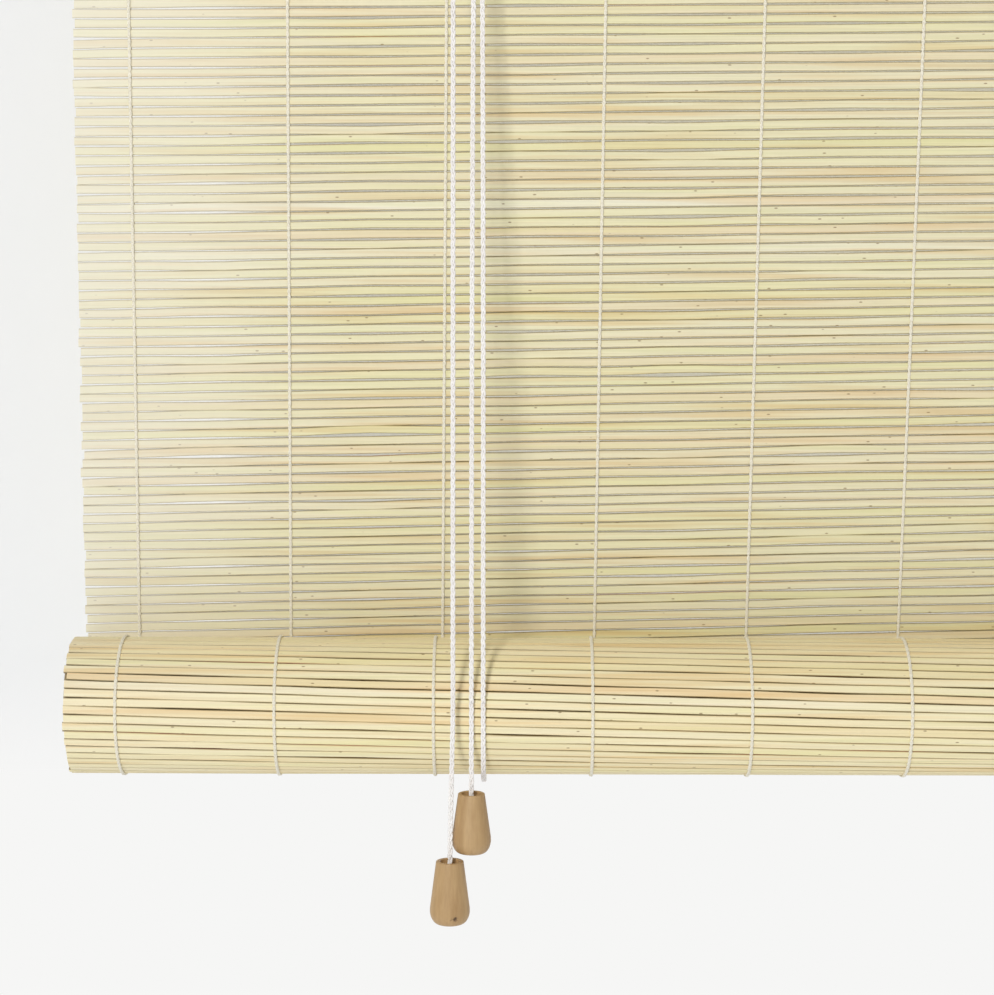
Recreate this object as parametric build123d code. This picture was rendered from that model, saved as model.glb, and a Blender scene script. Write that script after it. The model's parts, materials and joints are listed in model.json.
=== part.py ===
from build123d import *
import math
import os

# Bamboo roll up blind, partly rolled up. Millimetres, +Z up, the room is at -Y and the wall at +Y.
# The origin is the middle of the headrail's top face, which is screwed up against a lintel.

# Overall sizes
blind_width = 1000.0
hang_length = 480.0  # from the headrail's underside down to the roll's axis
roll_radius = 34.4

# Headrail and the strip that clamps the mat to its back
headrail_depth = 24.0
headrail_height = 28.0
clamp_thickness = 5.0
clamp_height = 17.0
screw_inset = 100.0  # from the headrail's end
screw_hole_radius = 2.5
countersink_radius = 5.0
pin_count = 8
pin_inset = 60.0
pin_radius = 0.8
pin_length = 18.0
pin_head_radius = 2.0
pin_head_thickness = 0.8

# Mat: split bamboo slats on cotton warp threads
slat_width = 4.2
slat_thickness = 1.9
slat_pitch = 4.7
mat_layer = 2.4  # slat and thread together, as wound
edge_margin = 26.0  # from the slats' ends to the first thread
thread_count = 13
thread_radius = 0.45
clamped_slat_count = 4
pinned_slat = 1  # counted from the headrail's underside, from 0
rod_radius = 6.0
rod_inset = 8.0  # the rod stops this far inside the roll's ends

# Cords
cord_radius = 1.3
lift_cord_inset = 206.5  # from the blind's end
pull_cord_spread = 9.0  # between the two pull cords, along the blind
pull_cord_step = 6.0  # the second pull cord hangs this far in front of the first
pull_cord_drift = 1.6  # the second pull cord is pushed this far aside by the first pull
seam_length = 6.0  # straight cord between the roll and each seam
arc_share = 0.998  # leaves a short straight run between two arcs of one circle

# Screw eyes under the headrail
eye_wire_radius = 1.5
eye_ring_radius = 5.0
eye_neck = 3.0
eye_shank = 14.0
eye_back_y = 4.0
eye_front_y = -4.5

# Staples that hold the cords' ends behind the clamp strip
staple_wire_radius = 0.6
staple_leg = 3.8
staple_drop = 5.0  # below the cord's end
anchor_drop = 10.5  # the cord's end, below the headrail's top
knot_radius = 3.2

# Turned wooden pulls
pull_height = 31.6
pull_top_radius = 6.8
pull_wide_radius = 9.9
pull_wide_drop = 24.5
pull_foot_radius = 6.6
pull_bore_radius = 1.75
pull_cup_radius = 4.4
pull_cup_depth = 5.0
pull_recess_radius = 4.2
pull_recess_depth = 12.0
pull_roundings = {pull_top_radius: 0.6, pull_wide_radius: 8.0, pull_foot_radius: 4.0}
upper_pull_drop = 37.0  # from the roll's axis to the pull's top
lower_pull_drop = 69.8
pull_bend_rise = 8.0  # the second cord turns upright this far above its pull

# Clearances
running_gap = 0.3
hole_gap = 0.1
wire_gap = 0.05
mat_gap = 1.2  # between the roll and the mat behind it

# Worked out from the sizes above
half_width = blind_width / 2
underside_z = -headrail_height
rail_back_y = headrail_depth / 2
strip_back_y = rail_back_y + slat_thickness + clamp_thickness
anchor_y = strip_back_y + running_gap + cord_radius
anchor_z = -anchor_drop
roll_y = (eye_back_y + anchor_y) / 2
roll_z = underside_z - hang_length
mat_top_y = rail_back_y + slat_thickness / 2
mat_foot_y = roll_y + roll_radius + mat_gap + slat_thickness / 2
mat_lean = math.atan2(mat_foot_y - mat_top_y, hang_length)
mat_length = math.hypot(mat_foot_y - mat_top_y, hang_length)

# The lift cord touches the roll in front and clears the mat behind it.
cord_front_y = roll_y - roll_radius - running_gap - cord_radius
cord_back_y = mat_foot_y + slat_thickness / 2 + running_gap + cord_radius
sling_radius = (cord_back_y - cord_front_y) / 2
sling_y = (cord_back_y + cord_front_y) / 2

eye_turn_radius = eye_wire_radius + wire_gap + cord_radius
eye_wire_z = underside_z - eye_neck - eye_wire_radius - 2 * eye_ring_radius
eye_turn_z = eye_wire_z + eye_turn_radius

left_lift_x = -half_width + lift_cord_inset
upper_pull_x = left_lift_x - 2 * eye_turn_radius - hole_gap
lower_cord_x = upper_pull_x - pull_cord_spread
lower_pull_x = lower_cord_x - pull_cord_drift
right_lift_x = half_width - lift_cord_inset
lower_cord_y = cord_front_y - pull_cord_step
upper_pull_z = roll_z - upper_pull_drop
lower_pull_z = roll_z - lower_pull_drop

bend_radii = {}


def mat_point(distance, offset=0.0):
    """A point of the hanging mat, down from the headrail, with an offset to its back."""
    y = mat_top_y + distance * math.sin(mat_lean) + offset * math.cos(mat_lean)
    z = underside_z - distance * math.cos(mat_lean) + offset * math.sin(mat_lean)
    return y, z


def tangent_from(y, z, side):
    """Where a line from (y, z) touches the sling's circle, in front (-1) or behind (1)."""
    distance = math.hypot(y - sling_y, z - roll_z)
    towards = math.atan2(z - roll_z, y - sling_y)
    angle = towards - side * math.acos(sling_radius / distance)
    return sling_y + sling_radius * math.cos(angle), roll_z + sling_radius * math.sin(angle)


def step_from(start, end, distance):
    """The point that lies a distance from start on the way to end."""
    length = math.dist(start, end)
    return tuple(a + (b - a) * distance / length for a, b in zip(start, end))


def reach(start, end, axis, value):
    """Where the line from start through end comes to a value along one axis (1 is Y, 2 is Z)."""
    share = (value - start[axis]) / (end[axis] - start[axis])
    return tuple(a + (b - a) * share for a, b in zip(start, end))


def easy_radius(before, corner, after):
    """The radius of a free bend: 0.45 of the shorter run, over the tangent of half the turn."""
    arriving = Vector(*corner) - Vector(*before)
    leaving = Vector(*after) - Vector(*corner)
    shorter = min(arriving.length, leaving.length)
    return 0.45 * shorter / math.tan(math.radians(arriving.get_angle(leaving)) / 2)


def cord_tube(name, points, radii):
    """A round cord along straight runs joined by tangent arcs, one radius for each corner."""
    if radii:
        path = FilletPolyline(*points, radius=radii)
    else:
        path = Line(*points)
    start = Plane(origin=points[0], z_dir=path % 0)
    tube = sweep(start * Circle(cord_radius), path=path)
    bend_radii[name] = [round(radius, 2) for radius in radii]
    expected = math.pi * cord_radius**2 * path.length
    print(name, "length", round(path.length, 1), "volume ratio", round(tube.volume / expected, 4))
    return tube


def upright_cylinder(x, y, top, bottom, radius):
    """A cylinder along Z between two heights."""
    return Pos(x, y, (top + bottom) / 2) * Cylinder(radius, top - bottom)


def cross_cylinder(x, z, front, back, radius):
    """A cylinder along Y between two depths."""
    return Pos(x, (front + back) / 2, z) * Rot(90, 0, 0) * Cylinder(radius, back - front)


def spread_along(count, inset):
    """Evenly spaced places along the blind, the outer two at an inset from its ends."""
    gap = (blind_width - 2 * inset) / (count - 1)
    return [-half_width + inset + gap * index for index in range(count)]


# Fasteners and what they pass through
pin_z = underside_z + slat_pitch * (pinned_slat + 0.5)
pin_places = spread_along(pin_count, pin_inset)
pin_front_y = strip_back_y - pin_length
eye_places = {
    "screw_eye_left_back": ((left_lift_x + upper_pull_x) / 2, eye_back_y),
    "screw_eye_left_front": (lower_cord_x + eye_turn_radius, eye_front_y),
    "screw_eye_right": (right_lift_x - eye_turn_radius, eye_back_y),
}
staple_z = anchor_z - staple_drop
staple_leg_x = cord_radius + running_gap + staple_wire_radius
lift_places = {"left": left_lift_x, "right": right_lift_x}


def make_headrail():
    """A planed batten with screw holes to the lintel, and pilot holes for its eyes and pins."""
    rail = Pos(0, 0, -headrail_height / 2) * Box(blind_width, headrail_depth, headrail_height)
    sink_depth = countersink_radius - screw_hole_radius
    for x in (-half_width + screw_inset, half_width - screw_inset):
        rail -= upright_cylinder(x, 0, 1, underside_z - 1, screw_hole_radius)
        sink = Cone(countersink_radius, screw_hole_radius, sink_depth)
        rail -= Pos(x, 0, underside_z + sink_depth / 2) * sink
    for x, y in eye_places.values():
        pilot_top = underside_z + eye_shank + hole_gap
        rail -= upright_cylinder(x, y, pilot_top, underside_z - 1, eye_wire_radius + wire_gap)
    for x in pin_places:
        rail -= cross_cylinder(x, pin_z, pin_front_y - hole_gap, rail_back_y + 1, pin_radius + hole_gap)
    return rail


def make_clamp_strip():
    """A thin strip over the mat's top end, drilled for the pins and for the cord staples."""
    strip_y = strip_back_y - clamp_thickness / 2
    strip = Pos(0, strip_y, underside_z + clamp_height / 2) * Box(blind_width, clamp_thickness, clamp_height)
    for x in pin_places:
        strip -= cross_cylinder(x, pin_z, strip_back_y - clamp_thickness - 1, strip_back_y + 1, pin_radius + hole_gap)
    for cord_x in lift_places.values():
        for x in (cord_x - staple_leg_x, cord_x + staple_leg_x):
            leg_end_y = strip_back_y - staple_leg - hole_gap
            strip -= cross_cylinder(x, staple_z, leg_end_y, strip_back_y + 1, staple_wire_radius + hole_gap)
    return strip


def make_clamped_slats():
    """The mat's top slats, upright between the headrail and the clamp strip."""
    slats = []
    for index in range(clamped_slat_count):
        z = underside_z + slat_pitch * (index + 0.5)
        slat = Pos(0, mat_top_y, z) * Box(blind_width, slat_thickness, slat_width)
        if index == pinned_slat:
            for x in pin_places:
                slat -= cross_cylinder(x, pin_z, rail_back_y - 1, strip_back_y, pin_radius + hole_gap)
        slats.append(slat)
    return slats


def make_pins():
    """Panel pins: a round head on the strip and a shank into the headrail."""
    pins = []
    for x in pin_places:
        shank = cross_cylinder(x, pin_z, pin_front_y, strip_back_y, pin_radius)
        head = cross_cylinder(x, pin_z, strip_back_y, strip_back_y + pin_head_thickness, pin_head_radius)
        pins.append(shank + head)
    return pins


def make_mat_slats():
    """The hanging slats, one under the other, which lean back towards the roll."""
    slats = []
    for index in range(int(mat_length / slat_pitch)):
        y, z = mat_point(slat_pitch * (index + 0.5))
        slat = Pos(0, y, z) * Rot(math.degrees(mat_lean), 0, 0) * Box(blind_width, slat_thickness, slat_width)
        slats.append(slat)
    return slats


def make_warp_thread(x):
    """One warp thread: a strand in front of the slats and a strand behind them."""
    strands = []
    offset = slat_thickness / 2 + wire_gap + thread_radius
    length = mat_length - 2 * running_gap
    for side in (-1, 1):
        y, z = mat_point(mat_length / 2, side * offset)
        strand = Pos(x, y, z) * Rot(math.degrees(mat_lean), 0, 0) * Cylinder(thread_radius, length)
        strands.append(strand)
    return strands


def make_rolled_mat():
    """The wound mat: a spiral outline of four quarter arcs, one layer in a turn, around the rod."""
    step = mat_layer / 4
    radii = [roll_radius - step * index for index in range(4)]
    back = (roll_radius, 0)
    foot = (0, -radii[0])
    front = (-radii[1], -step)
    top = (-step, -step + radii[2])
    back_inner = (-step + radii[3], 0)
    with BuildPart() as roll:
        with BuildSketch(Plane.YZ.offset(-half_width)) as outline:
            with BuildLine():
                RadiusArc(back, foot, radii[0])
                RadiusArc(foot, front, radii[1])
                RadiusArc(front, top, radii[2])
                RadiusArc(top, back_inner, radii[3])
                Line(back_inner, back)
            make_face()
            Circle(rod_radius + hole_gap, mode=Mode.SUBTRACT)
        extrude(amount=blind_width)
    return Pos(0, roll_y, roll_z) * roll.part


def make_bottom_rod():
    """The rod at the mat's lower end, in the middle of the roll."""
    return Pos(0, roll_y, roll_z) * Rot(0, 90, 0) * Cylinder(rod_radius, blind_width - 2 * rod_inset)


def make_screw_eye(x, y):
    """A wire ring in the YZ plane under a shank that is screwed up into the headrail."""
    ring_z = eye_wire_z + eye_ring_radius
    ring = Pos(x, y, ring_z) * Rot(0, 90, 0) * Torus(eye_ring_radius, eye_wire_radius)
    shank = upright_cylinder(x, y, underside_z + eye_shank, ring_z + eye_ring_radius, eye_wire_radius)
    return ring + shank


def make_cord_staple(x):
    """A square wire staple over the end of a lift cord."""
    tip_y = strip_back_y - staple_leg
    crown_y = anchor_y + cord_radius + 2 * running_gap + staple_wire_radius
    left = x - staple_leg_x
    right = x + staple_leg_x
    points = [(left, tip_y, staple_z), (left, crown_y, staple_z), (right, crown_y, staple_z), (right, tip_y, staple_z)]
    path = FilletPolyline(*points, radius=2 * staple_wire_radius)
    start = Plane(origin=points[0], z_dir=(0, 1, 0))
    return sweep(start * Circle(staple_wire_radius), path=path)


def make_knot(x, y, face_z, upward):
    """A round knot whose flat side meets the cord's end at face_z, above it or below it."""
    flat = math.sqrt(knot_radius**2 - (cord_radius + wire_gap) ** 2)
    centre_z = face_z + flat if upward else face_z - flat
    side = 4 * knot_radius
    ball = Pos(x, y, centre_z) * Sphere(knot_radius)
    block_z = face_z + side / 2 if upward else face_z - side / 2
    return ball & Pos(x, y, block_z) * Box(side, side, side)


def make_pull(x, y, top_z):
    """A turned wooden pull: a taper with a rounded foot, a cup on top and a knot recess below."""
    with BuildPart() as pull:
        with BuildSketch(Plane.XZ) as profile:
            with BuildLine():
                Polyline(
                    (0, 0),
                    (pull_top_radius, 0),
                    (pull_wide_radius, -pull_wide_drop),
                    (pull_foot_radius, -pull_height),
                    (0, -pull_height),
                    close=True,
                )
            make_face()
            for corner_x, rounding in pull_roundings.items():
                fillet([v for v in profile.vertices() if abs(v.X - corner_x) < 0.01], rounding)
        revolve(axis=Axis.Z)
    turned = pull.part
    turned -= upright_cylinder(0, 0, 1, -pull_height - 1, pull_bore_radius)
    turned -= upright_cylinder(0, 0, 1, -pull_cup_depth, pull_cup_radius)
    turned -= upright_cylinder(0, 0, pull_recess_depth - pull_height, -pull_height - 1, pull_recess_radius)
    return Pos(x, y, top_z) * turned


def knot_face(pull_z):
    """The height of a knot's flat side, just under the shoulder of its pull's recess."""
    return pull_z - pull_height + pull_recess_depth - running_gap


def front_leg(x, eye_y):
    """The straight cord in front, from its turn over an eye down to the roll: its two ends."""
    turn = (x, eye_y, eye_turn_z)
    touch = (x, *tangent_from(eye_y, eye_turn_z, -1))
    return turn, step_from(touch, turn, seam_length)


def make_cords():
    """Every length of the two lift cords and the two pull cords."""
    cords = {}
    eye_y = {name: place[1] for name, place in eye_places.items()}
    left_turn, left_seam = front_leg(left_lift_x, eye_y["screw_eye_left_back"])
    upper_turn, upper_seam = front_leg(upper_pull_x, eye_y["screw_eye_left_back"])
    right_turn, right_seam = front_leg(right_lift_x, eye_y["screw_eye_right"])
    lower_turn = (lower_cord_x, eye_y["screw_eye_left_front"], eye_turn_z)
    kink = (lower_cord_x, lower_cord_y, roll_z)
    lower_seam = step_from(kink, lower_turn, seam_length)
    eye_bend = eye_turn_radius * arc_share

    # Over the left eye and down again as the first pull cord.
    points = [left_seam, left_turn, upper_turn, upper_seam]
    cords["lift_cord_left_front"] = cord_tube("lift_cord_left_front", points, [eye_bend, eye_bend])

    # Along the headrail from the right eye to the front left one.
    right_end = step_from(right_turn, right_seam, 2 * eye_turn_radius)
    left_end = step_from(lower_turn, lower_seam, 2 * eye_turn_radius)
    points = [right_end, right_turn, lower_turn, left_end]
    cords["cross_cord"] = cord_tube("cross_cord", points, [eye_bend, eye_bend])
    cords["lift_cord_right_front"] = cord_tube("lift_cord_right_front", [right_end, right_seam], [])
    cords["lower_pull_cord_top"] = cord_tube("lower_pull_cord_top", [left_end, lower_seam], [])

    # Each lift cord goes under the roll, between a seam in front and a seam behind.
    foot_z = roll_z - sling_radius
    sling_bend = sling_radius * arc_share
    for side, turn, seam in (("left", left_turn, left_seam), ("right", right_turn, right_seam)):
        x = lift_places[side]
        anchor = (x, anchor_y, anchor_z)
        strip_foot = (x, anchor_y, underside_z)
        back_touch = (x, *tangent_from(anchor_y, underside_z, 1))
        back_seam = step_from(back_touch, strip_foot, seam_length)
        front_corner = reach(turn, seam, 2, foot_z)
        back_corner = reach(strip_foot, back_seam, 2, foot_z)
        points = [seam, front_corner, back_corner, back_seam]
        cords[f"sling_{side}"] = cord_tube(f"sling_{side}", points, [sling_bend, sling_bend])
        name = f"lift_cord_{side}_back"
        points = [back_seam, strip_foot, anchor]
        cords[name] = cord_tube(name, points, [easy_radius(*points)])

    # The pull cords hang free from the roll's front down to the knots inside their pulls.
    upper_kink = reach(upper_turn, upper_seam, 1, cord_front_y)
    points = [upper_seam, upper_kink, (upper_pull_x, cord_front_y, knot_face(upper_pull_z))]
    cords["upper_pull_cord"] = cord_tube("upper_pull_cord", points, [sling_bend])
    drift = (lower_pull_x, lower_cord_y, lower_pull_z + pull_bend_rise)
    lower_end = (lower_pull_x, lower_cord_y, knot_face(lower_pull_z))
    points = [lower_seam, kink, drift, lower_end]
    radii = [easy_radius(lower_seam, kink, drift), easy_radius(kink, drift, lower_end)]
    cords["lower_pull_cord"] = cord_tube("lower_pull_cord", points, radii)
    return cords


nodes = {
    "headrail": make_headrail(),
    "clamp_strip": make_clamp_strip(),
    "panel_pins": make_pins(),
    "clamped_slats": make_clamped_slats(),
    "mat_slats": make_mat_slats(),
    "rolled_mat": make_rolled_mat(),
    "bottom_rod": make_bottom_rod(),
    "upper_pull": make_pull(upper_pull_x, cord_front_y, upper_pull_z),
    "lower_pull": make_pull(lower_pull_x, lower_cord_y, lower_pull_z),
    "upper_pull_knot": make_knot(upper_pull_x, cord_front_y, knot_face(upper_pull_z), False),
    "lower_pull_knot": make_knot(lower_pull_x, lower_cord_y, knot_face(lower_pull_z), False),
}
for index, thread_x in enumerate(spread_along(thread_count, edge_margin), 1):
    nodes[f"warp_thread_{index:02d}"] = make_warp_thread(thread_x)
for eye_name, (eye_x, eye_y) in eye_places.items():
    nodes[eye_name] = make_screw_eye(eye_x, eye_y)
for side, cord_x in lift_places.items():
    nodes[f"cord_staple_{side}"] = make_cord_staple(cord_x)
    nodes[f"end_knot_{side}"] = make_knot(cord_x, anchor_y, anchor_z, True)
nodes.update(make_cords())

os.makedirs("parts", exist_ok=True)
for name, shape in nodes.items():
    if isinstance(shape, list):
        shape = Compound(children=shape)
    export_step(shape, f"parts/{name}.step")
print("cord bend radii", bend_radii)
print("nodes", len(nodes))
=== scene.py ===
import json
import math
import random

import bpy
from mathutils import Matrix, Vector


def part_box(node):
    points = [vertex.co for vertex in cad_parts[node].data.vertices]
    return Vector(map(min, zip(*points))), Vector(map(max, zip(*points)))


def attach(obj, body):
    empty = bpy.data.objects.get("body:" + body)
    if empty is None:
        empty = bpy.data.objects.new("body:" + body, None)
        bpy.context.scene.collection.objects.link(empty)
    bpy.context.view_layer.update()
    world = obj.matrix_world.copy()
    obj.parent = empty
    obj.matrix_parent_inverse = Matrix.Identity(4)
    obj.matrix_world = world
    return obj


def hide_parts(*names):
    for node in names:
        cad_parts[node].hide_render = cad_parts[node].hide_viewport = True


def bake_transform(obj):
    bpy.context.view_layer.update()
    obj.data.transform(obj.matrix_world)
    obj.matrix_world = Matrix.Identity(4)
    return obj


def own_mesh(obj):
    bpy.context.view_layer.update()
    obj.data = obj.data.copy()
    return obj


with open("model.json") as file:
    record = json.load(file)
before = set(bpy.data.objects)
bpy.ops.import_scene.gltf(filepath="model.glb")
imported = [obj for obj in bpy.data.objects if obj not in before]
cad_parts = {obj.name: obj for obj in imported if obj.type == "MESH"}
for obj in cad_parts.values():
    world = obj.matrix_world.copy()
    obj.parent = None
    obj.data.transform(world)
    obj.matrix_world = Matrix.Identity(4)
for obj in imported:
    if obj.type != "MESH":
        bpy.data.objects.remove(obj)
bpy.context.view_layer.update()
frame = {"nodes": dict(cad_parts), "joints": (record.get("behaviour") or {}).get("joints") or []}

mm = 0.001
random.seed(41)
print("frame loaded")


# small helpers used by every piece

def deselectAll():
    for thing in bpy.context.selected_objects:
        thing.select_set(False)


def activate(thing):
    deselectAll()
    thing.select_set(True)
    bpy.context.view_layer.objects.active = thing


def toLinear(hexColour):
    # sRGB hex to the linear values that sockets take
    channels = [int(hexColour[i:i + 2], 16) / 255 for i in (1, 3, 5)]
    linear = [c / 12.92 if c <= 0.04045 else ((c + 0.055) / 1.055) ** 2.4 for c in channels]
    return (*linear, 1.0)


def addNode(tree, kind, settings=None, links=None):
    # settings holds properties and constant sockets; links joins a socket to another node's output
    node = tree.nodes.new(kind)
    for name, value in (settings or {}).items():
        if isinstance(name, int) or name in node.inputs:
            node.inputs[name].default_value = value
        else:
            setattr(node, name, value)
    for name, output in (links or {}).items():
        tree.links.new(output, node.inputs[name])
    return node


def addRamp(tree, source, stops):
    ramp = addNode(tree, "ShaderNodeValToRGB", {}, {"Fac": source})
    elements = ramp.color_ramp.elements
    while len(elements) < len(stops):
        elements.new(0.5)
    for element, (place, value) in zip(elements, stops):
        element.position = place
        element.color = toLinear(value) if isinstance(value, str) else (value, value, value, 1)
    return ramp.outputs["Color"]


def newMaterial(name, roughness, settings=None):
    material = bpy.data.materials.new(name)
    material.use_nodes = True
    tree = material.node_tree
    shader = tree.nodes["Principled BSDF"]
    shader.inputs["Roughness"].default_value = roughness
    for key, value in (settings or {}).items():
        shader.inputs[key].default_value = value
    return material, tree, shader


def dress(thing, material):
    thing.data.materials.clear()
    thing.data.materials.append(material)


def placeStage(thing, material):
    dress(thing, material)


# camera

cameraSet = {
    "place": (-0.2762, -1.21455, -0.258),
    "yaw": -0.507,      # degrees, to the left of straight ahead
    "pitch": 6.663,     # degrees, looking down
    "roll": 0.054,
    "lens": 88.64,
}


def makeCamera():
    data = bpy.data.cameras.new("camera")
    data.lens = cameraSet["lens"]
    data.sensor_width = 36.0
    data.clip_start = 0.05
    data.clip_end = 60.0
    eye = bpy.data.objects.new("camera", data)
    bpy.context.scene.collection.objects.link(eye)
    yaw = math.radians(cameraSet["yaw"])
    pitch = math.radians(cameraSet["pitch"])
    ahead = Vector((math.sin(yaw) * math.cos(pitch), math.cos(yaw) * math.cos(pitch), -math.sin(pitch)))
    turn = ahead.to_track_quat("-Z", "Y").to_matrix().to_4x4()
    turn = turn @ Matrix.Rotation(math.radians(cameraSet["roll"]), 4, "Z")
    eye.matrix_world = Matrix.Translation(cameraSet["place"]) @ turn
    bpy.context.scene.camera = eye
    return eye


makeCamera()
bpy.context.scene.view_settings.view_transform = "Standard"
print("camera placed")


# materials

def cottonMaterial():
    # bleached cotton, plaited: soft dull white, fine fibres that break up the light
    material, tree, shader = newMaterial("cotton_bleached_plaited", 0.85, {
        "Sheen Weight": 0.25, "Specular IOR Level": 0.25})
    place = addNode(tree, "ShaderNodeTexCoord").outputs["Object"]
    fibre = addNode(tree, "ShaderNodeTexNoise", {"Scale": 2600.0, "Detail": 3.0}, {"Vector": place})
    stain = addNode(tree, "ShaderNodeTexNoise", {"Scale": 55.0, "Detail": 2.0}, {"Vector": place})
    tone = addNode(tree, "ShaderNodeMix", {"data_type": "RGBA", "Factor": 0.5})
    tree.links.new(addRamp(tree, fibre.outputs["Fac"], [(0.3, "#F0EAE4"), (0.7, "#FFFDFA")]), tone.inputs[6])
    tree.links.new(addRamp(tree, stain.outputs["Fac"], [(0.3, "#F6F0EA"), (0.7, "#FFFDFA")]), tone.inputs[7])
    tree.links.new(tone.outputs[2], shader.inputs["Base Color"])
    bump = addNode(tree, "ShaderNodeBump", {"Strength": 0.35, "Distance": 0.0002},
                   {"Height": fibre.outputs["Fac"]})
    tree.links.new(bump.outputs["Normal"], shader.inputs["Normal"])
    return material


def threadMaterial():
    # cotton warp thread, twisted: cream white, a little darker than the cords
    material, tree, shader = newMaterial("cotton_thread_twisted", 0.9, {
        "Sheen Weight": 0.15, "Specular IOR Level": 0.2})
    place = addNode(tree, "ShaderNodeTexCoord").outputs["Object"]
    fibre = addNode(tree, "ShaderNodeTexNoise", {"Scale": 1500.0, "Detail": 2.0}, {"Vector": place})
    colour = addRamp(tree, fibre.outputs["Fac"], [(0.3, "#E3DBC3"), (0.7, "#FBF6E6")])
    tree.links.new(colour, shader.inputs["Base Color"])
    bump = addNode(tree, "ShaderNodeBump", {"Strength": 0.3, "Distance": 0.0002},
                   {"Height": fibre.outputs["Fac"]})
    tree.links.new(bump.outputs["Normal"], shader.inputs["Normal"])
    return material


def bambooMaterial(name, faceTones, sideShadeTones, paintedLightAmount):
    # split and planed bamboo: long straight fibres and a soft satin face; the split sides, which face the
    # gaps between the slats, are painted dark brown as painted shade
    material, tree, shader = newMaterial(name, 0.5, {"Specular IOR Level": 0.35})
    place = addNode(tree, "ShaderNodeTexCoord").outputs["Object"]
    tone = addNode(tree, "ShaderNodeAttribute", {"attribute_name": "slatTone"}).outputs["Fac"]
    side = addNode(tree, "ShaderNodeAttribute", {"attribute_name": "slatSide"}).outputs["Fac"]
    long = addNode(tree, "ShaderNodeMapping", {"Scale": (12.0, 1500.0, 1500.0)}, {"Vector": place})
    fibre = addNode(tree, "ShaderNodeTexNoise", {"Scale": 1.0, "Detail": 3.0, "Roughness": 0.6},
                    {"Vector": long.outputs[0]})
    wide = addNode(tree, "ShaderNodeMapping", {"Scale": (7.0, 260.0, 260.0)}, {"Vector": place})
    cloud = addNode(tree, "ShaderNodeTexNoise", {"Scale": 1.0, "Detail": 2.0}, {"Vector": wide.outputs[0]})
    face = addRamp(tree, tone, faceTones)
    streak = addRamp(tree, fibre.outputs["Fac"], [(0.3, 0.86), (0.62, 1.0)])
    patch = addRamp(tree, cloud.outputs["Fac"], [(0.3, "#F4E2C8"), (0.5, "#FFFFFF"), (0.72, "#F8FBE8")])
    lined = addNode(tree, "ShaderNodeMix", {"data_type": "RGBA", "blend_type": "MULTIPLY", "Factor": 0.75})
    tree.links.new(face, lined.inputs[6])
    tree.links.new(streak, lined.inputs[7])
    clouded = addNode(tree, "ShaderNodeMix", {"data_type": "RGBA", "blend_type": "MULTIPLY", "Factor": 0.8})
    tree.links.new(lined.outputs[2], clouded.inputs[6])
    tree.links.new(patch, clouded.inputs[7])
    # brown flecks, about one in ten centimetres of slat, 3 mm long
    fleckPlace = addNode(tree, "ShaderNodeMapping", {"Scale": (75.0, 210.0, 210.0)}, {"Vector": place})
    fleck = addNode(tree, "ShaderNodeTexVoronoi", {"Scale": 1.0, "Randomness": 1.0},
                    {"Vector": fleckPlace.outputs[0]})
    fleckMask = addRamp(tree, fleck.outputs["Distance"], [(0.045, 0.75), (0.085, 0.0)])
    marked = addNode(tree, "ShaderNodeMix", {"data_type": "RGBA"}, {"Factor": fleckMask})
    tree.links.new(clouded.outputs[2], marked.inputs[6])
    marked.inputs[7].default_value = toLinear("#8A6B42")
    # painted shade: the split sides are painted dark brown, standing in for the shade in the gaps between
    # the slats
    sideShadeMix = addNode(tree, "ShaderNodeMix", {"data_type": "RGBA"}, {"Factor": side})
    tree.links.new(marked.outputs[2], sideShadeMix.inputs[6])
    tree.links.new(addRamp(tree, cloud.outputs["Fac"], sideShadeTones), sideShadeMix.inputs[7])
    # painted light: the left end is painted paler and more neutral, standing in for the stronger light that
    # falls there
    along = addNode(tree, "ShaderNodeSeparateXYZ", {}, {"Vector": place}).outputs["X"]
    paintedLightMask = addNode(tree, "ShaderNodeMapRange", {"From Min": -0.36, "From Max": -0.5, "To Max": paintedLightAmount},
                     {"Value": along})
    paintedLightMix = addNode(tree, "ShaderNodeMix", {"data_type": "RGBA"}, {"Factor": paintedLightMask.outputs[0]})
    tree.links.new(sideShadeMix.outputs[2], paintedLightMix.inputs[6])
    paintedLightMix.inputs[7].default_value = toLinear("#F2EDDC")
    tree.links.new(paintedLightMix.outputs[2], shader.inputs["Base Color"])
    bump = addNode(tree, "ShaderNodeBump", {"Strength": 0.4, "Distance": 0.00015},
                   {"Height": fibre.outputs["Fac"]})
    tree.links.new(bump.outputs["Normal"], shader.inputs["Normal"])
    return material


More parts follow.
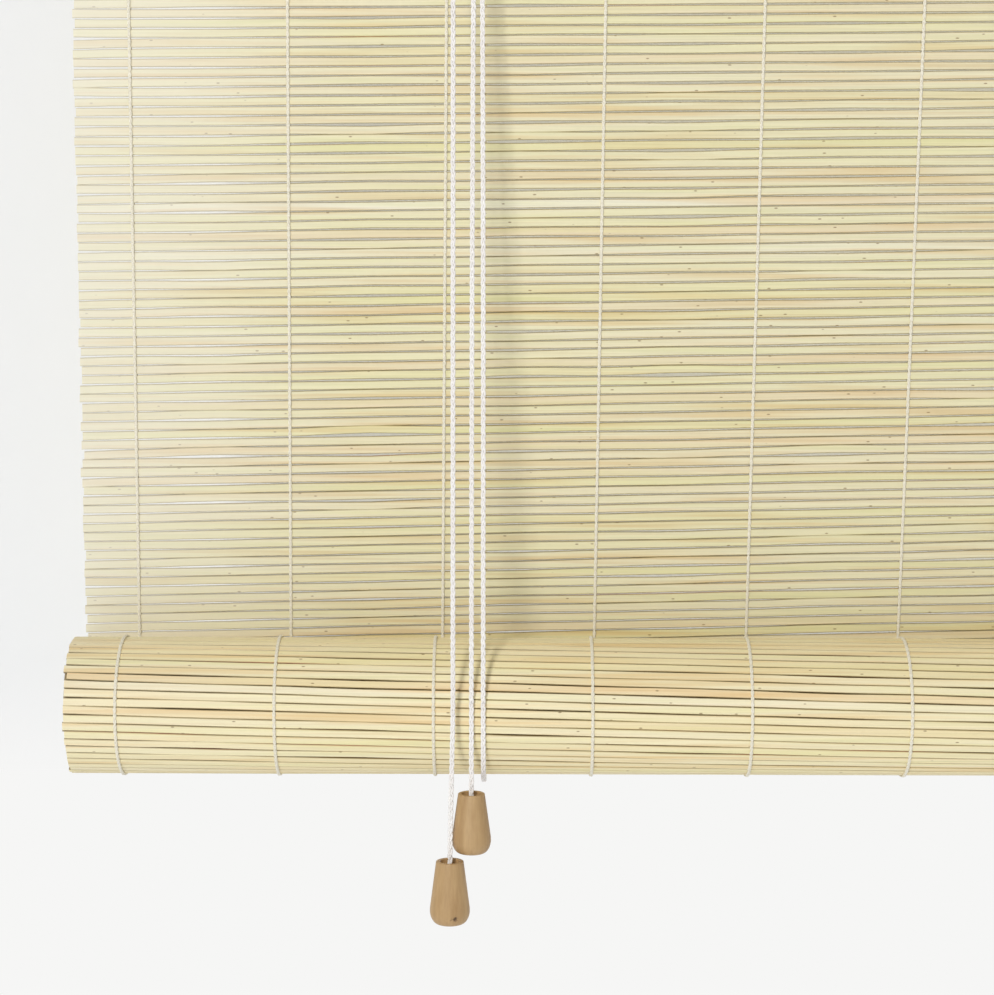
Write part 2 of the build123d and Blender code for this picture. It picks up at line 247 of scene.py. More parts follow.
def woodMaterial(name, light, dark, along, grain):
    # planed or turned softwood under a thin wax: fine grain lines and broad soft bands
    material, tree, shader = newMaterial(name, 0.48, {"Specular IOR Level": 0.4})
    place = addNode(tree, "ShaderNodeTexCoord").outputs["Object"]
    scale = [grain, grain, grain]
    scale[along] = grain / 22.0
    fine = addNode(tree, "ShaderNodeMapping", {"Scale": tuple(scale)}, {"Vector": place})
    fibre = addNode(tree, "ShaderNodeTexNoise", {"Scale": 1.0, "Detail": 4.0, "Roughness": 0.65},
                    {"Vector": fine.outputs[0]})
    broad = addNode(tree, "ShaderNodeMapping", {"Scale": tuple(s / 5.0 for s in scale)}, {"Vector": place})
    band = addNode(tree, "ShaderNodeTexNoise", {"Scale": 1.0, "Detail": 2.0, "Distortion": 0.6},
                   {"Vector": broad.outputs[0]})
    mixed = addNode(tree, "ShaderNodeMath", {"operation": "MULTIPLY_ADD", 1: 0.5},
                    {0: fibre.outputs["Fac"]})
    halved = addNode(tree, "ShaderNodeMath", {"operation": "MULTIPLY", 1: 0.5}, {0: band.outputs["Fac"]})
    tree.links.new(halved.outputs[0], mixed.inputs[2])
    colour = addRamp(tree, mixed.outputs[0], [(0.34, dark), (0.62, light)])
    tree.links.new(colour, shader.inputs["Base Color"])
    bump = addNode(tree, "ShaderNodeBump", {"Strength": 0.25, "Distance": 0.0002},
                   {"Height": fibre.outputs["Fac"]})
    tree.links.new(bump.outputs["Normal"], shader.inputs["Normal"])
    return material


def addKnotMark(material, place, radius):
    # one small dark knot in the wood
    tree = material.node_tree
    shader = tree.nodes["Principled BSDF"]
    below = shader.inputs["Base Color"].links[0].from_socket
    here = addNode(tree, "ShaderNodeTexCoord").outputs["Object"]
    blur = addNode(tree, "ShaderNodeTexNoise", {"Scale": 900.0, "Detail": 2.0}, {"Vector": here})
    far = addNode(tree, "ShaderNodeVectorMath", {"operation": "DISTANCE", 1: place}, {0: here})
    uneven = addNode(tree, "ShaderNodeMath", {"operation": "MULTIPLY"},
                     {0: far.outputs["Value"], 1: blur.outputs["Fac"]})
    spread = {"From Min": radius * 0.3, "From Max": radius * 0.65, "To Min": 0.9, "To Max": 0.0}
    mask = addNode(tree, "ShaderNodeMapRange", spread, {"Value": uneven.outputs[0]})
    mixed = addNode(tree, "ShaderNodeMix", {"data_type": "RGBA"}, {"Factor": mask.outputs[0]})
    tree.links.new(below, mixed.inputs[6])
    mixed.inputs[7].default_value = toLinear("#4B3322")
    tree.links.new(mixed.outputs[2], shader.inputs["Base Color"])


def zincMaterial():
    # steel wire, zinc plated: bright grey metal with a faint blotchy haze
    material, tree, shader = newMaterial("steel_zinc_plated", 0.35, {"Metallic": 1.0})
    place = addNode(tree, "ShaderNodeTexCoord").outputs["Object"]
    haze = addNode(tree, "ShaderNodeTexNoise", {"Scale": 420.0, "Detail": 3.0}, {"Vector": place})
    colour = addRamp(tree, haze.outputs["Fac"], [(0.3, "#A9ABAA"), (0.7, "#D6D7D4")])
    tree.links.new(colour, shader.inputs["Base Color"])
    rough = addNode(tree, "ShaderNodeMapRange", {"To Min": 0.25, "To Max": 0.5},
                    {"Value": haze.outputs["Fac"]})
    tree.links.new(rough.outputs[0], shader.inputs["Roughness"])
    return material


cotton = cottonMaterial()
thread = threadMaterial()
# each material's second list is the painted shade on the split sides, and its last number is the share of
# painted light at the left end
bamboo = bambooMaterial("bamboo_split_planed", [
    (0.0, "#EFDDB6"), (0.3, "#F0E6C2"), (0.55, "#F1E9C6"), (0.8, "#EDE5B4"), (1.0, "#F8F2E0"),
], [(0.36, "#8E7C4C"), (0.6, "#9B8A5C"), (0.74, "#AA7650")], 0.6)
# painted light: the roll's copy of the bamboo has lighter face tones, standing in for the brighter light on
# the roll
bambooRolled = bambooMaterial("bamboo_split_planed_roll_painted_lighter", [
    (0.0, "#F7DEB0"), (0.3, "#F9EABE"), (0.55, "#FBEFC6"), (0.8, "#F7E7B2"), (1.0, "#FEF5DA"),
], [(0.36, "#8A7443"), (0.6, "#9A8453"), (0.74, "#AE724B")], 0.12)
pine = woodMaterial("pine_planed", "#E3C592", "#C79E63", 0, 260.0)
beech = woodMaterial("beech_turned_waxed", "#C6A577", "#AC895C", 2, 420.0)
addKnotMark(beech, Vector((-307.3, -38.6, -604.6)) * mm, 1.3 * mm)
zinc = zincMaterial()
print("materials made")


# cords

cordSet = {
    "diameter": 2.6 * mm,
    "strandRadius": 0.54 * mm,
    "swing": 0.78 * mm,       # a strand's way to each side
    "crossing": 0.42 * mm,    # a strand's way to the front and back
    "plait": 12.0 * mm,       # one strand's full turn, which shows a V every 4 mm
    "step": 0.9 * mm,
}


def lineCurve(name, lines, radius, resolution, cyclic=False):
    # round strands along lists of points, made a mesh
    data = bpy.data.curves.new(name, "CURVE")
    data.dimensions = "3D"
    for points in lines:
        spline = data.splines.new("POLY")
        spline.points.add(len(points) - 1)
        for target, point in zip(spline.points, points):
            target.co = (*point, 1)
        spline.use_cyclic_u = cyclic
    data.bevel_depth = radius
    data.bevel_resolution = resolution
    data.use_fill_caps = True
    thing = bpy.data.objects.new(name, data)
    bpy.context.scene.collection.objects.link(thing)
    activate(thing)
    bpy.ops.object.convert(target="MESH")
    made = bpy.context.view_layer.objects.active
    bpy.ops.object.mode_set(mode="EDIT")
    bpy.ops.mesh.select_all(action="SELECT")
    bpy.ops.mesh.remove_doubles(threshold=0.00001)
    bpy.ops.mesh.normals_make_consistent(inside=False)
    bpy.ops.object.mode_set(mode="OBJECT")
    bpy.ops.object.shade_smooth()
    return made


def routeLine(name, route):
    # the route's own NURBS line, as points
    data = bpy.data.curves.new(name + "_route", "CURVE")
    data.dimensions = "3D"
    data.resolution_u = 160
    spline = data.splines.new("NURBS")
    spline.points.add(len(route) - 1)
    for target, point in zip(spline.points, route):
        target.co = (*[c * mm for c in point], 1)
    spline.order_u = 3
    spline.use_endpoint_u = True
    thing = bpy.data.objects.new(name + "_route", data)
    bpy.context.scene.collection.objects.link(thing)
    bpy.context.view_layer.update()
    mesh = bpy.data.meshes.new_from_object(thing)
    points = [v.co.copy() for v in mesh.vertices]
    bpy.data.objects.remove(thing)
    return points


def evenly(points, step):
    # the same line with points at one spacing
    travelled = [0.0]
    for before, after in zip(points, points[1:]):
        travelled.append(travelled[-1] + (after - before).length)
    count = max(8, round(travelled[-1] / step))
    made = []
    index = 0
    for number in range(count + 1):
        goal = travelled[-1] * number / count
        while index < len(points) - 2 and travelled[index + 1] < goal:
            index += 1
        span = travelled[index + 1] - travelled[index]
        share = (goal - travelled[index]) / span if span > 1e-12 else 0.0
        made.append(points[index].lerp(points[index + 1], share))
    return made, travelled[-1]


def makeCord(name, route):
    line, length = evenly(routeLine(name, route), cordSet["step"])
    ahead = [(line[min(i + 1, len(line) - 1)] - line[max(i - 1, 0)]).normalized() for i in range(len(line))]
    side = ahead[0].cross(Vector((0, 1, 0))).normalized()
    strands = [[], [], []]
    for index, (point, tangent) in enumerate(zip(line, ahead)):
        side = (side - tangent * side.dot(tangent)).normalized()
        front = side.cross(tangent)
        for number, strand in enumerate(strands):
            angle = 2 * math.pi * (length * index / (len(line) - 1) / cordSet["plait"] + number / 3)
            across = side * (cordSet["swing"] * math.sin(angle))
            strand.append(point + across + front * (cordSet["crossing"] * math.sin(2 * angle)))
    made = lineCurve(name + "_plait", strands, cordSet["strandRadius"], 1)
    dress(made, cotton)
    return made, line, length


# where each run of cord goes, in millimetres; the loop below puts most runs on the body they ride on
cordRoutes = {
    "lift_cord_left_front": [(-293.5, -23.33, -499.78), (-293.5, 4.0, -39.65),
                             (-299.3, 4.0, -39.65), (-299.3, -23.33, -499.78)],
    "cross_cord": [(293.5, 3.66, -45.34), (293.5, 4.0, -39.65),
                   (-308.3, -4.5, -39.65), (-308.3, -4.81, -45.34)],
    "lift_cord_right_front": [(293.5, 3.66, -45.34), (293.5, -23.33, -499.78)],
    "lower_pull_cord_top": [(-308.3, -4.81, -45.34), (-308.3, -29.43, -502.01)],
    "sling_left": [(-293.5, -23.33, -499.78), (-293.5, -26.05, -545.55),
                   (-293.5, 53.85, -545.55), (-293.5, 50.89, -499.6)],
    "sling_right": [(293.5, -23.33, -499.78), (293.5, -26.05, -545.55),
                    (293.5, 53.85, -545.55), (293.5, 50.89, -499.6)],
    "lift_cord_left_back": [(-293.5, 50.89, -499.6), (-293.5, 20.5, -28.0), (-293.5, 20.5, -10.5)],
    "lift_cord_right_back": [(293.5, 50.89, -499.6), (293.5, 20.5, -28.0), (293.5, 20.5, -10.5)],
    "upper_pull_cord": [(-299.3, -23.33, -499.78), (-299.3, -23.75, -506.89), (-299.3, -23.75, -564.9)],
    "lower_pull_cord": [(-308.3, -29.43, -502.01), (-308.3, -29.75, -508.0),
                        (-309.9, -29.75, -569.8), (-309.9, -29.75, -597.7)],
}
# the height that each shortening run is held at
cordHolds = {
    "lift_cord_left_front": -39.65 * mm,
    "lift_cord_right_front": -45.34 * mm,
    "lower_pull_cord_top": -45.34 * mm,
    "lift_cord_left_back": -10.5 * mm,
    "lift_cord_right_back": -10.5 * mm,
}
cords = {}
for cordName, cordRoute in cordRoutes.items():
    made, line, length = makeCord(cordName, cordRoute)
    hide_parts(cordName)
    if cordName in cordHolds:
        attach(made, "rail")
        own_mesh(made)
    elif cordName == "cross_cord":
        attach(made, "rail")
    elif cordName.startswith("sling"):
        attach(made, "slings")
    cords[cordName] = (made, line, length)
print("cords made", {name: round(item[2], 4) for name, item in cords.items()})


# the mat's geometry: where a point of the mat lies, hanging or on the roll

matLow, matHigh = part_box("mat_slats")
rollLow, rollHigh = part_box("rolled_mat")
threadLow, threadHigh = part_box("warp_thread_01")
matSet = {
    "slats": 102,
    "clamped": 4,
    "thickness": 1.9 * mm,
    "width": 4.2 * mm,
    "corner": 0.46 * mm,
    "shear": 0.0101,             # the threads lean to the right going up
    "left": -502.0 * mm,         # the slats' left ends, at the roll
    "right": 499.0 * mm,
    "fan": math.radians(1.6),    # how far the slats rise to the right at the roll
    "stations": 53,
    "bow": 0.30 * mm,            # how far a strip bends between two threads
}
rollAxis = next(j for j in frame["joints"] if j["name"] == "roll_turn")["pos_m"]
rollSet = {
    "y": rollAxis[1],
    "z": rollAxis[2],
    "radius": rollHigh.y - rollAxis[1] - matSet["thickness"] / 2 + 0.2 * mm,
    "layer": 2.4 * mm,
    "pitch": 4.2 * mm,
    "core": 7.6 * mm,
    "twist": 0.736,              # radians a metre: the slats wind round the roll like a slow screw
    "tail": 2.0 * mm,            # how far the mat stands off where it leaves the roll
    "threadShift": -2.2 * mm,
}
threadStart = (threadLow.x + threadHigh.x) / 2
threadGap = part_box("warp_thread_02")[0].x - threadLow.x
matTop = Vector((0, matLow.y + matSet["thickness"] / 2, matHigh.z))
matFoot = Vector((0, matHigh.y - matSet["thickness"] / 2, matLow.z))
matRun = (matFoot - matTop).length
matDown = (matFoot - matTop).normalized()
matOut = Vector((0, matDown.z, -matDown.y))      # out of the mat's face, to the room
matPitch = matRun / matSet["slats"]


def onMat(x, down, out):
    # a point of the hanging mat: along it, down it from the clamp, and out of its face
    point = matTop + matDown * down + matOut * out
    above = point.z - rollSet["z"]
    rise = math.tan(matSet["fan"]) * (down / matRun) * x
    return Vector((x + matSet["shear"] * above, point.y, point.z + rise))


def rollRadius(angle):
    # the mat's middle, from the roll's axis; the angle runs on from turn to turn
    loose = rollSet["tail"] * math.exp(-angle / 0.6)
    turns = angle / (2 * math.pi)
    under = min(1.0, max(0.0, (turns - 0.775) / 0.3))     # the mat slips under its first turn
    layers = under * under * (3 - 2 * under) + max(0.0, turns - 1.075)
    return rollSet["radius"] - rollSet["layer"] * layers + loose


def onRoll(x, angle, out):
    # a point of the rolled mat, with the angle from the back, under the roll and up in front
    reach = rollRadius(angle) + out
    turned = angle - rollSet["twist"] * x
    return Vector((x, rollSet["y"] + reach * math.cos(turned), rollSet["z"] - reach * math.sin(turned)))


def masterSlat(name, stations, corner):
    # one strip of bamboo, a metre long, with its corners taken off and cut across into stations
    deselectAll()
    length = matSet["right"] - matSet["left"]
    bpy.ops.mesh.primitive_cube_add(size=1.0, location=((matSet["right"] + matSet["left"]) / 2, 0, 0))
    slat = bpy.context.view_layer.objects.active
    slat.name = name
    slat.scale = (length, matSet["thickness"], matSet["width"])
    activate(slat)
    bpy.ops.object.transform_apply(location=True, rotation=False, scale=True)
    bpy.ops.object.mode_set(mode="EDIT")
    bpy.ops.mesh.select_mode(type="EDGE")
    if corner:
        pickLongEdges(slat)
        bpy.ops.mesh.bevel(offset=corner, segments=1, affect="EDGES")
    pickLongEdges(slat)
    bpy.ops.mesh.subdivide(number_cuts=stations)
    bpy.ops.object.mode_set(mode="OBJECT")
    return slat


def pickLongEdges(slat):
    bpy.ops.mesh.select_all(action="DESELECT")
    bpy.ops.object.mode_set(mode="OBJECT")
    vertices = slat.data.vertices
    for edge in slat.data.edges:
        a, b = (vertices[i].co for i in edge.vertices)
        edge.select = abs(a.x - b.x) > 0.9
    bpy.ops.object.mode_set(mode="EDIT")


def wander(reach, wave):
    # a slow random wave along a slat
    parts = [
        (random.uniform(0.6, 1.6) * 2 * math.pi / wave, random.uniform(0, 6.28), random.uniform(0.4, 1.0))
        for _ in range(3)
    ]
    total = sum(p[2] for p in parts)
    return lambda x: reach * sum(s * math.sin(f * x + p) for f, p, s in parts) / total


def layStrips(name, master, count, place, rough):
    # copies of the master strip, each with its own width, bends, ragged ends and tone
    copies = []
    for index in range(count):
        mesh = master.data.copy()
        thing = bpy.data.objects.new(f"{name}_{index}", mesh)
        bpy.context.scene.collection.objects.link(thing)
        upperEdge = wander(0.17 * mm * rough, 0.16)
        lowerEdge = wander(0.17 * mm * rough, 0.16)
        bow = wander(0.14 * mm * rough, 0.30)
        bends = [matSet["bow"] * rough * random.gauss(0, 1) for _ in range(15)]
        broad = 1 + random.uniform(-0.045, 0.03)
        thick = 1 + random.uniform(-0.12, 0.08)
        leftEnd = random.gauss(0, 0.45) * mm
        rightEnd = random.gauss(0, 0.45) * mm
        tone = random.betavariate(2.2, 2.0)
        half = matSet["width"] / 2
        sides = []
        for vertex in mesh.vertices:
            x, y, z = vertex.co
            sides.append(1.0 if abs(z) > half - 0.1 * mm else 0.0)
            share = (x - matSet["left"]) / (matSet["right"] - matSet["left"])
            shifted = x + (leftEnd if share < 0.02 else rightEnd if share > 0.98 else 0.0)
            spanPlace = (x - threadStart) / threadGap + 1
            bend = bends[int(spanPlace)] * math.sin(math.pi * (spanPlace % 1)) ** 2
            move = (upperEdge(x) if z > 0 else lowerEdge(x)) + bend
            vertex.co = place(index, shifted, z * broad + move, y * thick + bow(x))
        for attribute, values in (("slatTone", [tone] * len(sides)), ("slatSide", sides)):
            mesh.attributes.new(attribute, "FLOAT", "POINT").data.foreach_set("value", values)
        copies.append(thing)
    return copies


def joinAll(things, name):
    deselectAll()
    for thing in things:
        thing.select_set(True)
    bpy.context.view_layer.objects.active = things[0]
    bpy.ops.object.join()
    made = bpy.context.view_layer.objects.active
    made.name = name
    bpy.ops.object.mode_set(mode="EDIT")
    bpy.ops.mesh.select_all(action="SELECT")
    bpy.ops.mesh.normals_make_consistent(inside=False)
    bpy.ops.object.mode_set(mode="OBJECT")
    bpy.ops.object.shade_smooth_by_angle(angle=math.radians(34))
    return made


fineSlat = masterSlat("fine_slat", matSet["stations"], matSet["corner"])

# the hanging mat
strips = layStrips("hanging", fineSlat, matSet["slats"],
                   lambda i, x, up, back: onMat(x, (i + 0.5) * matPitch - up, -back), 1.0)
# the fanned mat meets the roll at a slant, so its next slats show as ever shorter lengths at the foot
fanSlope = math.tan(matSet["fan"])


def onFoot(index, x, up, back):
    start = (index + 1) * matPitch / fanSlope
    share = (x - matSet["left"]) / (matSet["right"] - matSet["left"])
    down = (matSet["slats"] + index + 0.5) * matPitch - up
    return onMat(start + share * (matSet["right"] - start), down, -back)


footCount = int(fanSlope * matSet["right"] / matPitch)
drawn = random.getstate()
strips += layStrips("foot", fineSlat, footCount, onFoot, 1.0)
random.setstate(drawn)
hangingMat = joinAll(strips, "hanging_slats")
dress(hangingMat, bamboo)
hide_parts("mat_slats")
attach(hangingMat, "rail")
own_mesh(hangingMat)

# the four slats held in the clamp, upright
topShear = matSet["shear"] * (matTop.z - rollSet["z"])


def inClamp(index, x, up, back):
    return Vector((x + topShear, matTop.y + back * 0.8, matTop.z + (index + 0.5) * matPitch + up))


strips = layStrips("clamped", fineSlat, matSet["clamped"], inClamp, 0.4)
clampedMat = joinAll(strips, "clamped_slats_strips")
dress(clampedMat, bamboo)
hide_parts("clamped_slats")
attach(clampedMat, "rail")
print("hanging slats made")

# the roll: a detailed outer turn and a half, then plain strips inside whose ends show the spiral
rollAngles = []
angle = 0.5 * rollSet["pitch"] / rollRadius(0)
while rollRadius(angle) > rollSet["core"]:
    rollAngles.append(angle)
    angle += rollSet["pitch"] / rollRadius(angle)
outerCount = sum(1 for a in rollAngles if a < 2.1 * math.pi)
outerAngles, innerAngles = rollAngles[:outerCount], rollAngles[outerCount:]
snug = 0.955      # a strip's share of its width on the roll, which leaves the gaps between strips


def rollPlace(angles):
    return lambda i, x, up, back: onRoll(x, angles[i] - up * snug / rollRadius(angles[i]), -back)


strips = layStrips("outer", fineSlat, len(outerAngles), rollPlace(outerAngles), 0.75)
plainSlat = masterSlat("plain_slat", 6, 0.0)
strips += layStrips("inner", plainSlat, len(innerAngles), rollPlace(innerAngles), 0.75)
rolledMat = joinAll(strips, "rolled_slats")
dress(rolledMat, bambooRolled)
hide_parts("rolled_mat")
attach(rolledMat, "roll")
bpy.data.objects.remove(fineSlat)
bpy.data.objects.remove(plainSlat)
print("roll made", len(outerAngles), len(innerAngles))


# warp threads: a twisted two-ply yarn on each face, sinking between the slats

threadSet = {
    "radius": 0.54 * mm,
    "count": 13,
    "sway": 0.46 * mm,     # each of a yarn's two plies winds this far to the side
    "dip": 0.22 * mm,      # and the yarn sinks this far between two slats
    "steps": 4,
}


def threadLines(place, first, last, lift):
    # a twisted yarn on each face; place takes a distance in slats, a sideways step and a step out
    lines = []
    for face in (1, -1):
        for ply in (0, 1):
            line = []
            for number in range(int((last - first) * threadSet["steps"]) + 1):
                along = first + number / threadSet["steps"]
                twist = 2 * math.pi * along * 0.75 + math.pi * ply
                sunk = threadSet["dip"] * (0.5 + 0.5 * math.cos(2 * math.pi * along))
                out = face * (lift + 0.3 * threadSet["sway"] * math.cos(twist) - sunk)
                line.append(place(along, threadSet["sway"] * math.sin(twist), out))
            lines.append(line)
    return lines


threadLift = matSet["thickness"] / 2 + threadSet["radius"] * 0.9
rollLines = []
for number in range(threadSet["count"]):
    node = f"warp_thread_{number + 1:02d}"
    low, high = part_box(node)
    x = (low.x + high.x) / 2

    def hanging(along, sideways, out):
        return onMat(x + sideways, along * matPitch, out)

    lastSlat = matSet["slats"] + max(0, int(fanSlope * x / matPitch))
    made = lineCurve(node + "_strands", threadLines(hanging, 0.0, float(lastSlat), threadLift),
                     threadSet["radius"], 1)
    dress(made, thread)
    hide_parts(node)
    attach(made, "rail")
    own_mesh(made)

    def rolling(along, sideways, out):
        half = along - 0.5
        index = min(max(math.floor(half), 0), len(outerAngles) - 2)
        share = half - index
        angle = outerAngles[index] * (1 - share) + outerAngles[index + 1] * share
        return onRoll(x + rollSet["threadShift"] + sideways, angle, out)

    rollLines += threadLines(rolling, 0.0, float(len(outerAngles) - 1), threadLift)
rollThreads = lineCurve("roll_threads", rollLines, threadSet["radius"], 1)
dress(rollThreads, thread)
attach(rollThreads, "roll")
print("threads made")


# pulls and knots

pullSet = {
    "top": 6.8, "wide": 9.9, "foot": 6.6, "wideDrop": 24.5, "height": 31.6,
    "bore": 1.75, "cup": 4.9, "cupDepth": 5.0, "recess": 4.2, "recessDepth": 12.0,
    "turns": 56,
}


def pullOutline(wider, height):
    # the outside from the rim down to the foot, then the inside back up
    top, wide, foot = pullSet["top"] + wider, pullSet["wide"] + wider, pullSet["foot"] - 0.8
    drop = pullSet["wideDrop"] + height - pullSet["height"]
    outline = [(pullSet["cup"], -0.35), (pullSet["cup"] + 0.35, 0.0)]
    outline += [(top - 0.4, 0.0), (top - 0.1, -0.15), (top, -0.5)]
    for step in range(1, 8):
        outline.append((top + (wide - top - 0.12) * step / 7, -0.5 - (drop - 1.5) * step / 7))
    for step in range(1, 11):
        turn = math.pi / 2 * step / 10
        outline.append((foot + (wide - foot) * math.cos(turn), -drop - (height - drop) * math.sin(turn)))
    outline += [(pullSet["recess"] + 0.4, -height), (pullSet["recess"], -height + 0.4)]
    roof = -height + pullSet["recessDepth"]
    outline += [(pullSet["recess"], roof), (pullSet["bore"], roof)]
    outline += [(pullSet["bore"], -pullSet["cupDepth"]), (pullSet["cup"] - 0.6, -pullSet["cupDepth"])]
    outline += [(pullSet["cup"], -pullSet["cupDepth"] + 0.8), (pullSet["cup"], -0.35)]
    return outline


def makePull(node, body, wider, height):
    low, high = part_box(node)
    centre = Vector(((low.x + high.x) / 2, (low.y + high.y) / 2, high.z))
    points = [centre + Vector((r * mm, 0, z * mm)) for r, z in pullOutline(wider, height)]
    mesh = bpy.data.meshes.new(node + "_turned")
    mesh.from_pydata([tuple(p) for p in points], [(i, i + 1) for i in range(len(points) - 1)], [])
    pull = bpy.data.objects.new(node + "_turned", mesh)
    bpy.context.scene.collection.objects.link(pull)
    activate(pull)
    bpy.ops.object.mode_set(mode="EDIT")
    bpy.ops.mesh.select_all(action="SELECT")
    bpy.ops.mesh.spin(steps=pullSet["turns"], angle=2 * math.pi, center=centre, axis=(0, 0, 1))
    bpy.ops.mesh.select_all(action="SELECT")
    bpy.ops.mesh.remove_doubles(threshold=0.00001)
    bpy.ops.mesh.normals_make_consistent(inside=False)
    bpy.ops.object.mode_set(mode="OBJECT")
    bpy.ops.object.shade_smooth_by_angle(angle=math.radians(40))
    dress(pull, beech)
    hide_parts(node)
    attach(pull, body)
    return pull


def makeKnot(node, body, turn):
    # an overhand knot drawn tight: a closed loop of cord that passes through itself
    low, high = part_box(node)
    centre = (low + high) / 2
    size = min(high.x - low.x, high.y - low.y) / 2
    cordRadius = size * 0.36
    reach = (size - cordRadius) / 3
    points = []
    for step in range(72):
        t = 2 * math.pi * step / 72
        bend = 2 + math.cos(3 * t)
        flat = Vector((bend * math.cos(2 * t + turn), bend * math.sin(2 * t + turn), 1.3 * math.sin(3 * t)))
        points.append(centre + flat * reach)
    knot = lineCurve(node + "_tied", [points], cordRadius, 3, cyclic=True)
    dress(knot, cotton)
    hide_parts(node)
    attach(knot, body)
    return knot


upperPull = makePull("upper_pull", "upper_pull_group", -0.1, 30.0)
lowerPull = makePull("lower_pull", "lower_pull_group", 0.1, 31.6)
upperKnot = makeKnot("upper_pull_knot", "upper_pull_group", 0.4)
lowerKnot = makeKnot("lower_pull_knot", "lower_pull_group", 1.7)
leftKnot = makeKnot("end_knot_left", "rail", 0.9)
rightKnot = makeKnot("end_knot_right", "rail", 2.3)
for cordName, body in (("upper_pull_cord", "upper_pull_group"), ("lower_pull_cord", "lower_pull_group")):
    made, line = cords[cordName][:2]
    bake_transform(made)

# real length in mm, what is at the far end, how it lies, what moves with it
cordFacts = {
    "lift_cord_left_front": (925.2, "object", "taut", ()),
    "cross_cord": (610.8, "object", "taut", ()),
    "lift_cord_right_front": (455.2, "object", "taut", ()),
    "lower_pull_cord_top": (457.3, "object", "taut", ()),
    "sling_left": (134.7, "object", "taut", ()),
    "sling_right": (134.7, "object", "taut", ()),
    "lift_cord_left_back": (490.1, "knot", "taut", (leftKnot,)),
    "lift_cord_right_back": (490.1, "knot", "taut", (rightKnot,)),
    "upper_pull_cord": (65.1, "knot", "hanging", (upperPull, upperKnot)),
    "lower_pull_cord": (95.7, "knot", "hanging", (lowerPull, lowerKnot)),
}
for cordName, (realLength, farEnd, lay, withPieces) in cordFacts.items():
    made, line = cords[cordName][:2]
print("pulls and knots made")


# the wooden rails and the small metal pieces keep their CAD shapes

def softenEdges(node, width):
    # a worn corner on a planed batten
    weld = node.modifiers.new("weld", "WELD")
    weld.merge_threshold = 0.00001
    corner = node.modifiers.new("corner", "BEVEL")
    corner.width = width
    corner.segments = 2
    corner.limit_method = "ANGLE"
    corner.angle_limit = math.radians(40)


for name in ("headrail", "clamp_strip", "bottom_rod"):
    dress(frame["nodes"][name], pine)
softenEdges(frame["nodes"]["headrail"], 0.7 * mm)
softenEdges(frame["nodes"]["clamp_strip"], 0.4 * mm)
for name, node in frame["nodes"].items():
    if name.startswith(("screw_eye", "cord_staple", "panel_pins")):
        dress(node, zinc)
print("rails and fittings finished")


# floor, backdrop and light

stageSet = {"floor": -1.6, "sweep": 4.6, "side": 9.0, "wall": 0.26, "keyPower": 58.5,
            "backPower": 60.0, "skyStrength": 0.45, "paintGlow": 0.13}


def onlySeen(thing):
    # seen by the camera, but it neither lights nor shades anything
    for ray in ("visible_diffuse", "visible_glossy", "visible_transmission", "visible_shadow"):
        setattr(thing, ray, False)


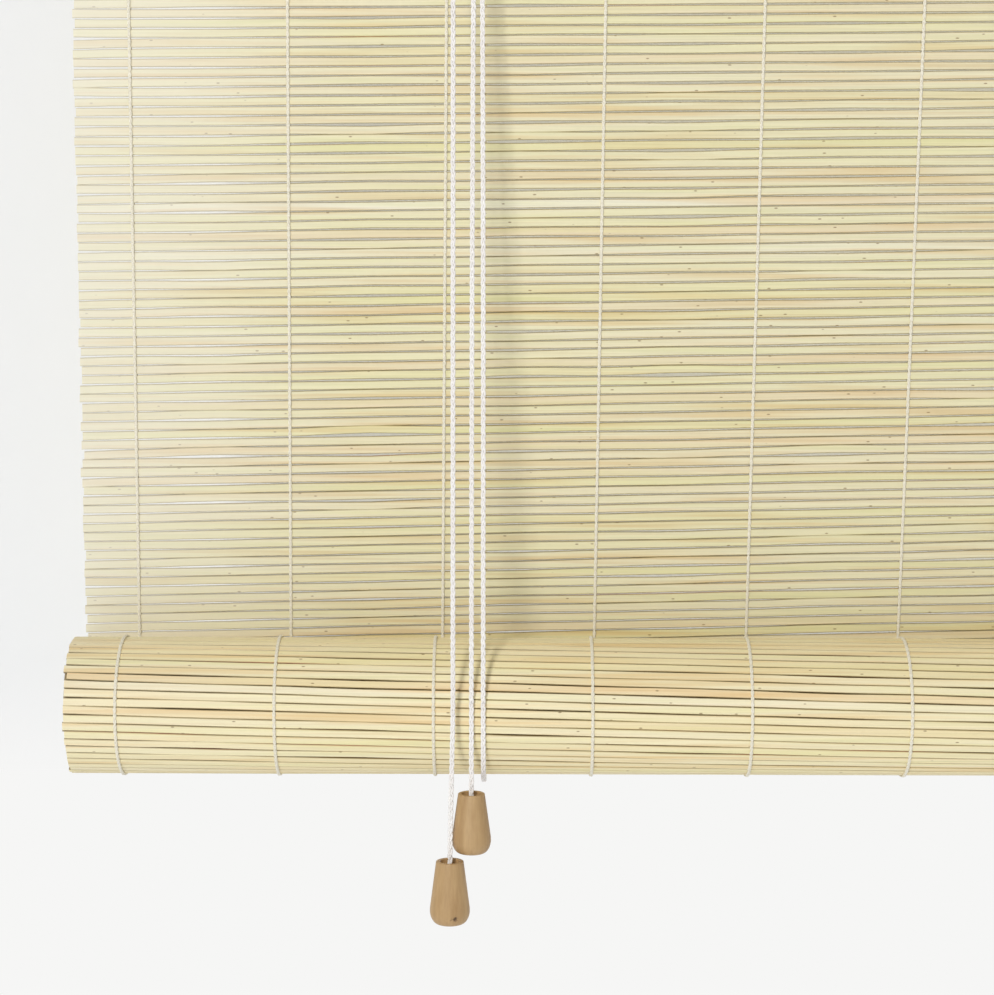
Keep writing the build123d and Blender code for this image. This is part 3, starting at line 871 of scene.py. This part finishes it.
def makeStage():
    plaster, tree, shader = newMaterial("plaster_painted_matt", 0.95, {"Specular IOR Level": 0.1})
    place = addNode(tree, "ShaderNodeTexCoord").outputs["Object"]
    soft = addNode(tree, "ShaderNodeTexNoise", {"Scale": 1.5, "Detail": 1.0}, {"Vector": place})
    colour = addRamp(tree, soft.outputs["Fac"], [(0.3, "#F0F1F2"), (0.7, "#F2F3F4")])
    tree.links.new(colour, shader.inputs["Base Color"])
    deselectAll()
    middle = (0, stageSet["sweep"] - stageSet["side"], stageSet["floor"])
    bpy.ops.mesh.primitive_plane_add(size=1.0, location=middle)
    floor = bpy.context.view_layer.objects.active
    floor.name = "floor"
    floor.scale = (stageSet["side"] * 2, stageSet["side"] * 2, 1)
    bpy.ops.object.transform_apply(location=True, rotation=True, scale=True)
    bpy.ops.object.mode_set(mode="EDIT")
    bpy.ops.mesh.select_mode(type="EDGE")
    bpy.ops.mesh.select_all(action="DESELECT")
    bpy.ops.object.mode_set(mode="OBJECT")
    for edge in floor.data.edges:
        ends = [floor.data.vertices[i].co for i in edge.vertices]
        edge.select = all(abs(e.y - stageSet["sweep"]) < 0.01 for e in ends)
    bpy.ops.object.mode_set(mode="EDIT")
    bpy.ops.mesh.extrude_region_move(TRANSFORM_OT_translate={"value": (0, 0, 6.0)})
    bpy.ops.mesh.select_all(action="SELECT")
    bpy.ops.mesh.bevel(offset=1.2, segments=12, affect="EDGES")
    bpy.ops.object.mode_set(mode="OBJECT")
    bpy.ops.object.shade_smooth()
    placeStage(floor, plaster)
    shader.inputs["Emission Color"].default_value = toLinear("#FFFFFF")
    shader.inputs["Emission Strength"].default_value = stageSet["paintGlow"]
    # the wall that the blind hangs before: only the room's side of it is there
    wallPaint = plaster.copy()
    wallPaint.name = "plaster_painted_room_side"
    tree = wallPaint.node_tree
    tree.nodes["Principled BSDF"].inputs["Emission Strength"].default_value = 0.0
    back = addNode(tree, "ShaderNodeNewGeometry").outputs["Backfacing"]
    clear = addNode(tree, "ShaderNodeBsdfTransparent").outputs[0]
    # the wall under the blind is evenly lit
    place = addNode(tree, "ShaderNodeTexCoord").outputs["Object"]
    height = addNode(tree, "ShaderNodeSeparateXYZ", {}, {0: place})
    lower = addNode(tree, "ShaderNodeMapRange", {"From Min": -0.53, "From Max": -0.60},
                    {"Value": height.outputs["Z"]})
    glow = addNode(tree, "ShaderNodeEmission", {"Color": toLinear("#F6F6F5"), "Strength": 1.0})
    matt = tree.nodes["Principled BSDF"].outputs[0]
    lit = addNode(tree, "ShaderNodeMixShader", {}, {0: lower.outputs[0], 1: matt, 2: glow.outputs[0]})
    mixed = addNode(tree, "ShaderNodeMixShader", {}, {0: back, 1: lit.outputs[0], 2: clear})
    tree.links.new(mixed.outputs[0], tree.nodes["Material Output"].inputs["Surface"])
    deselectAll()
    upright = (math.pi / 2, 0, 0)
    bpy.ops.mesh.primitive_plane_add(size=12.0, location=(0, stageSet["wall"], 0), rotation=upright)
    wall = bpy.context.view_layer.objects.active
    wall.name = "wall"
    bpy.ops.object.transform_apply(location=True, rotation=True, scale=True)
    onlySeen(wall)
    placeStage(wall, wallPaint)
    # a pale paper backdrop, seen all round but giving no light of its own
    paper, tree, shader = newMaterial("paper_backdrop_matt", 0.95, {"Base Color": toLinear("#000000")})
    shader.inputs["Emission Color"].default_value = toLinear("#DFE0E3")
    shader.inputs["Emission Strength"].default_value = 1.0
    bpy.ops.mesh.primitive_cylinder_add(vertices=96, radius=8.2, depth=24.0, location=(0, -3.7, 0))
    backdrop = bpy.context.view_layer.objects.active
    backdrop.name = "backdrop"
    bpy.ops.object.transform_apply(location=True, rotation=True, scale=True)
    onlySeen(backdrop)
    placeStage(backdrop, paper)


def makeLight(name, place, target, size, power, colour):
    data = bpy.data.lights.new(name, "AREA")
    data.shape = "DISK"
    data.size = size
    data.energy = power
    data.color = toLinear(colour)[:3]
    lamp = bpy.data.objects.new(name, data)
    bpy.context.scene.collection.objects.link(lamp)
    lamp.visible_camera = False
    aim = (Vector(target) - Vector(place)).to_track_quat("-Z", "Y")
    lamp.matrix_world = Matrix.Translation(place) @ aim.to_matrix().to_4x4()


makeStage()
keyTurn = math.radians(21)
keyFar = 3.4
keyPlace = (-0.15 - keyFar * math.sin(keyTurn), -keyFar * math.cos(keyTurn), 0.85)
makeLight("key", keyPlace, (-0.15, 0, -0.35), 0.75, stageSet["keyPower"], "#FFFFFF")
makeLight("back", (1.6, 3.4, 1.5), (0, 0, -0.3), 2.6, stageSet["backPower"], "#FFFFFF")
world = bpy.data.worlds.new("pale_room")
world.use_nodes = True
sky = world.node_tree.nodes["Background"]
sky.inputs["Color"].default_value = toLinear("#FBFCFF")
sky.inputs["Strength"].default_value = stageSet["skyStrength"]
bpy.context.scene.world = world
print("stage and light made")
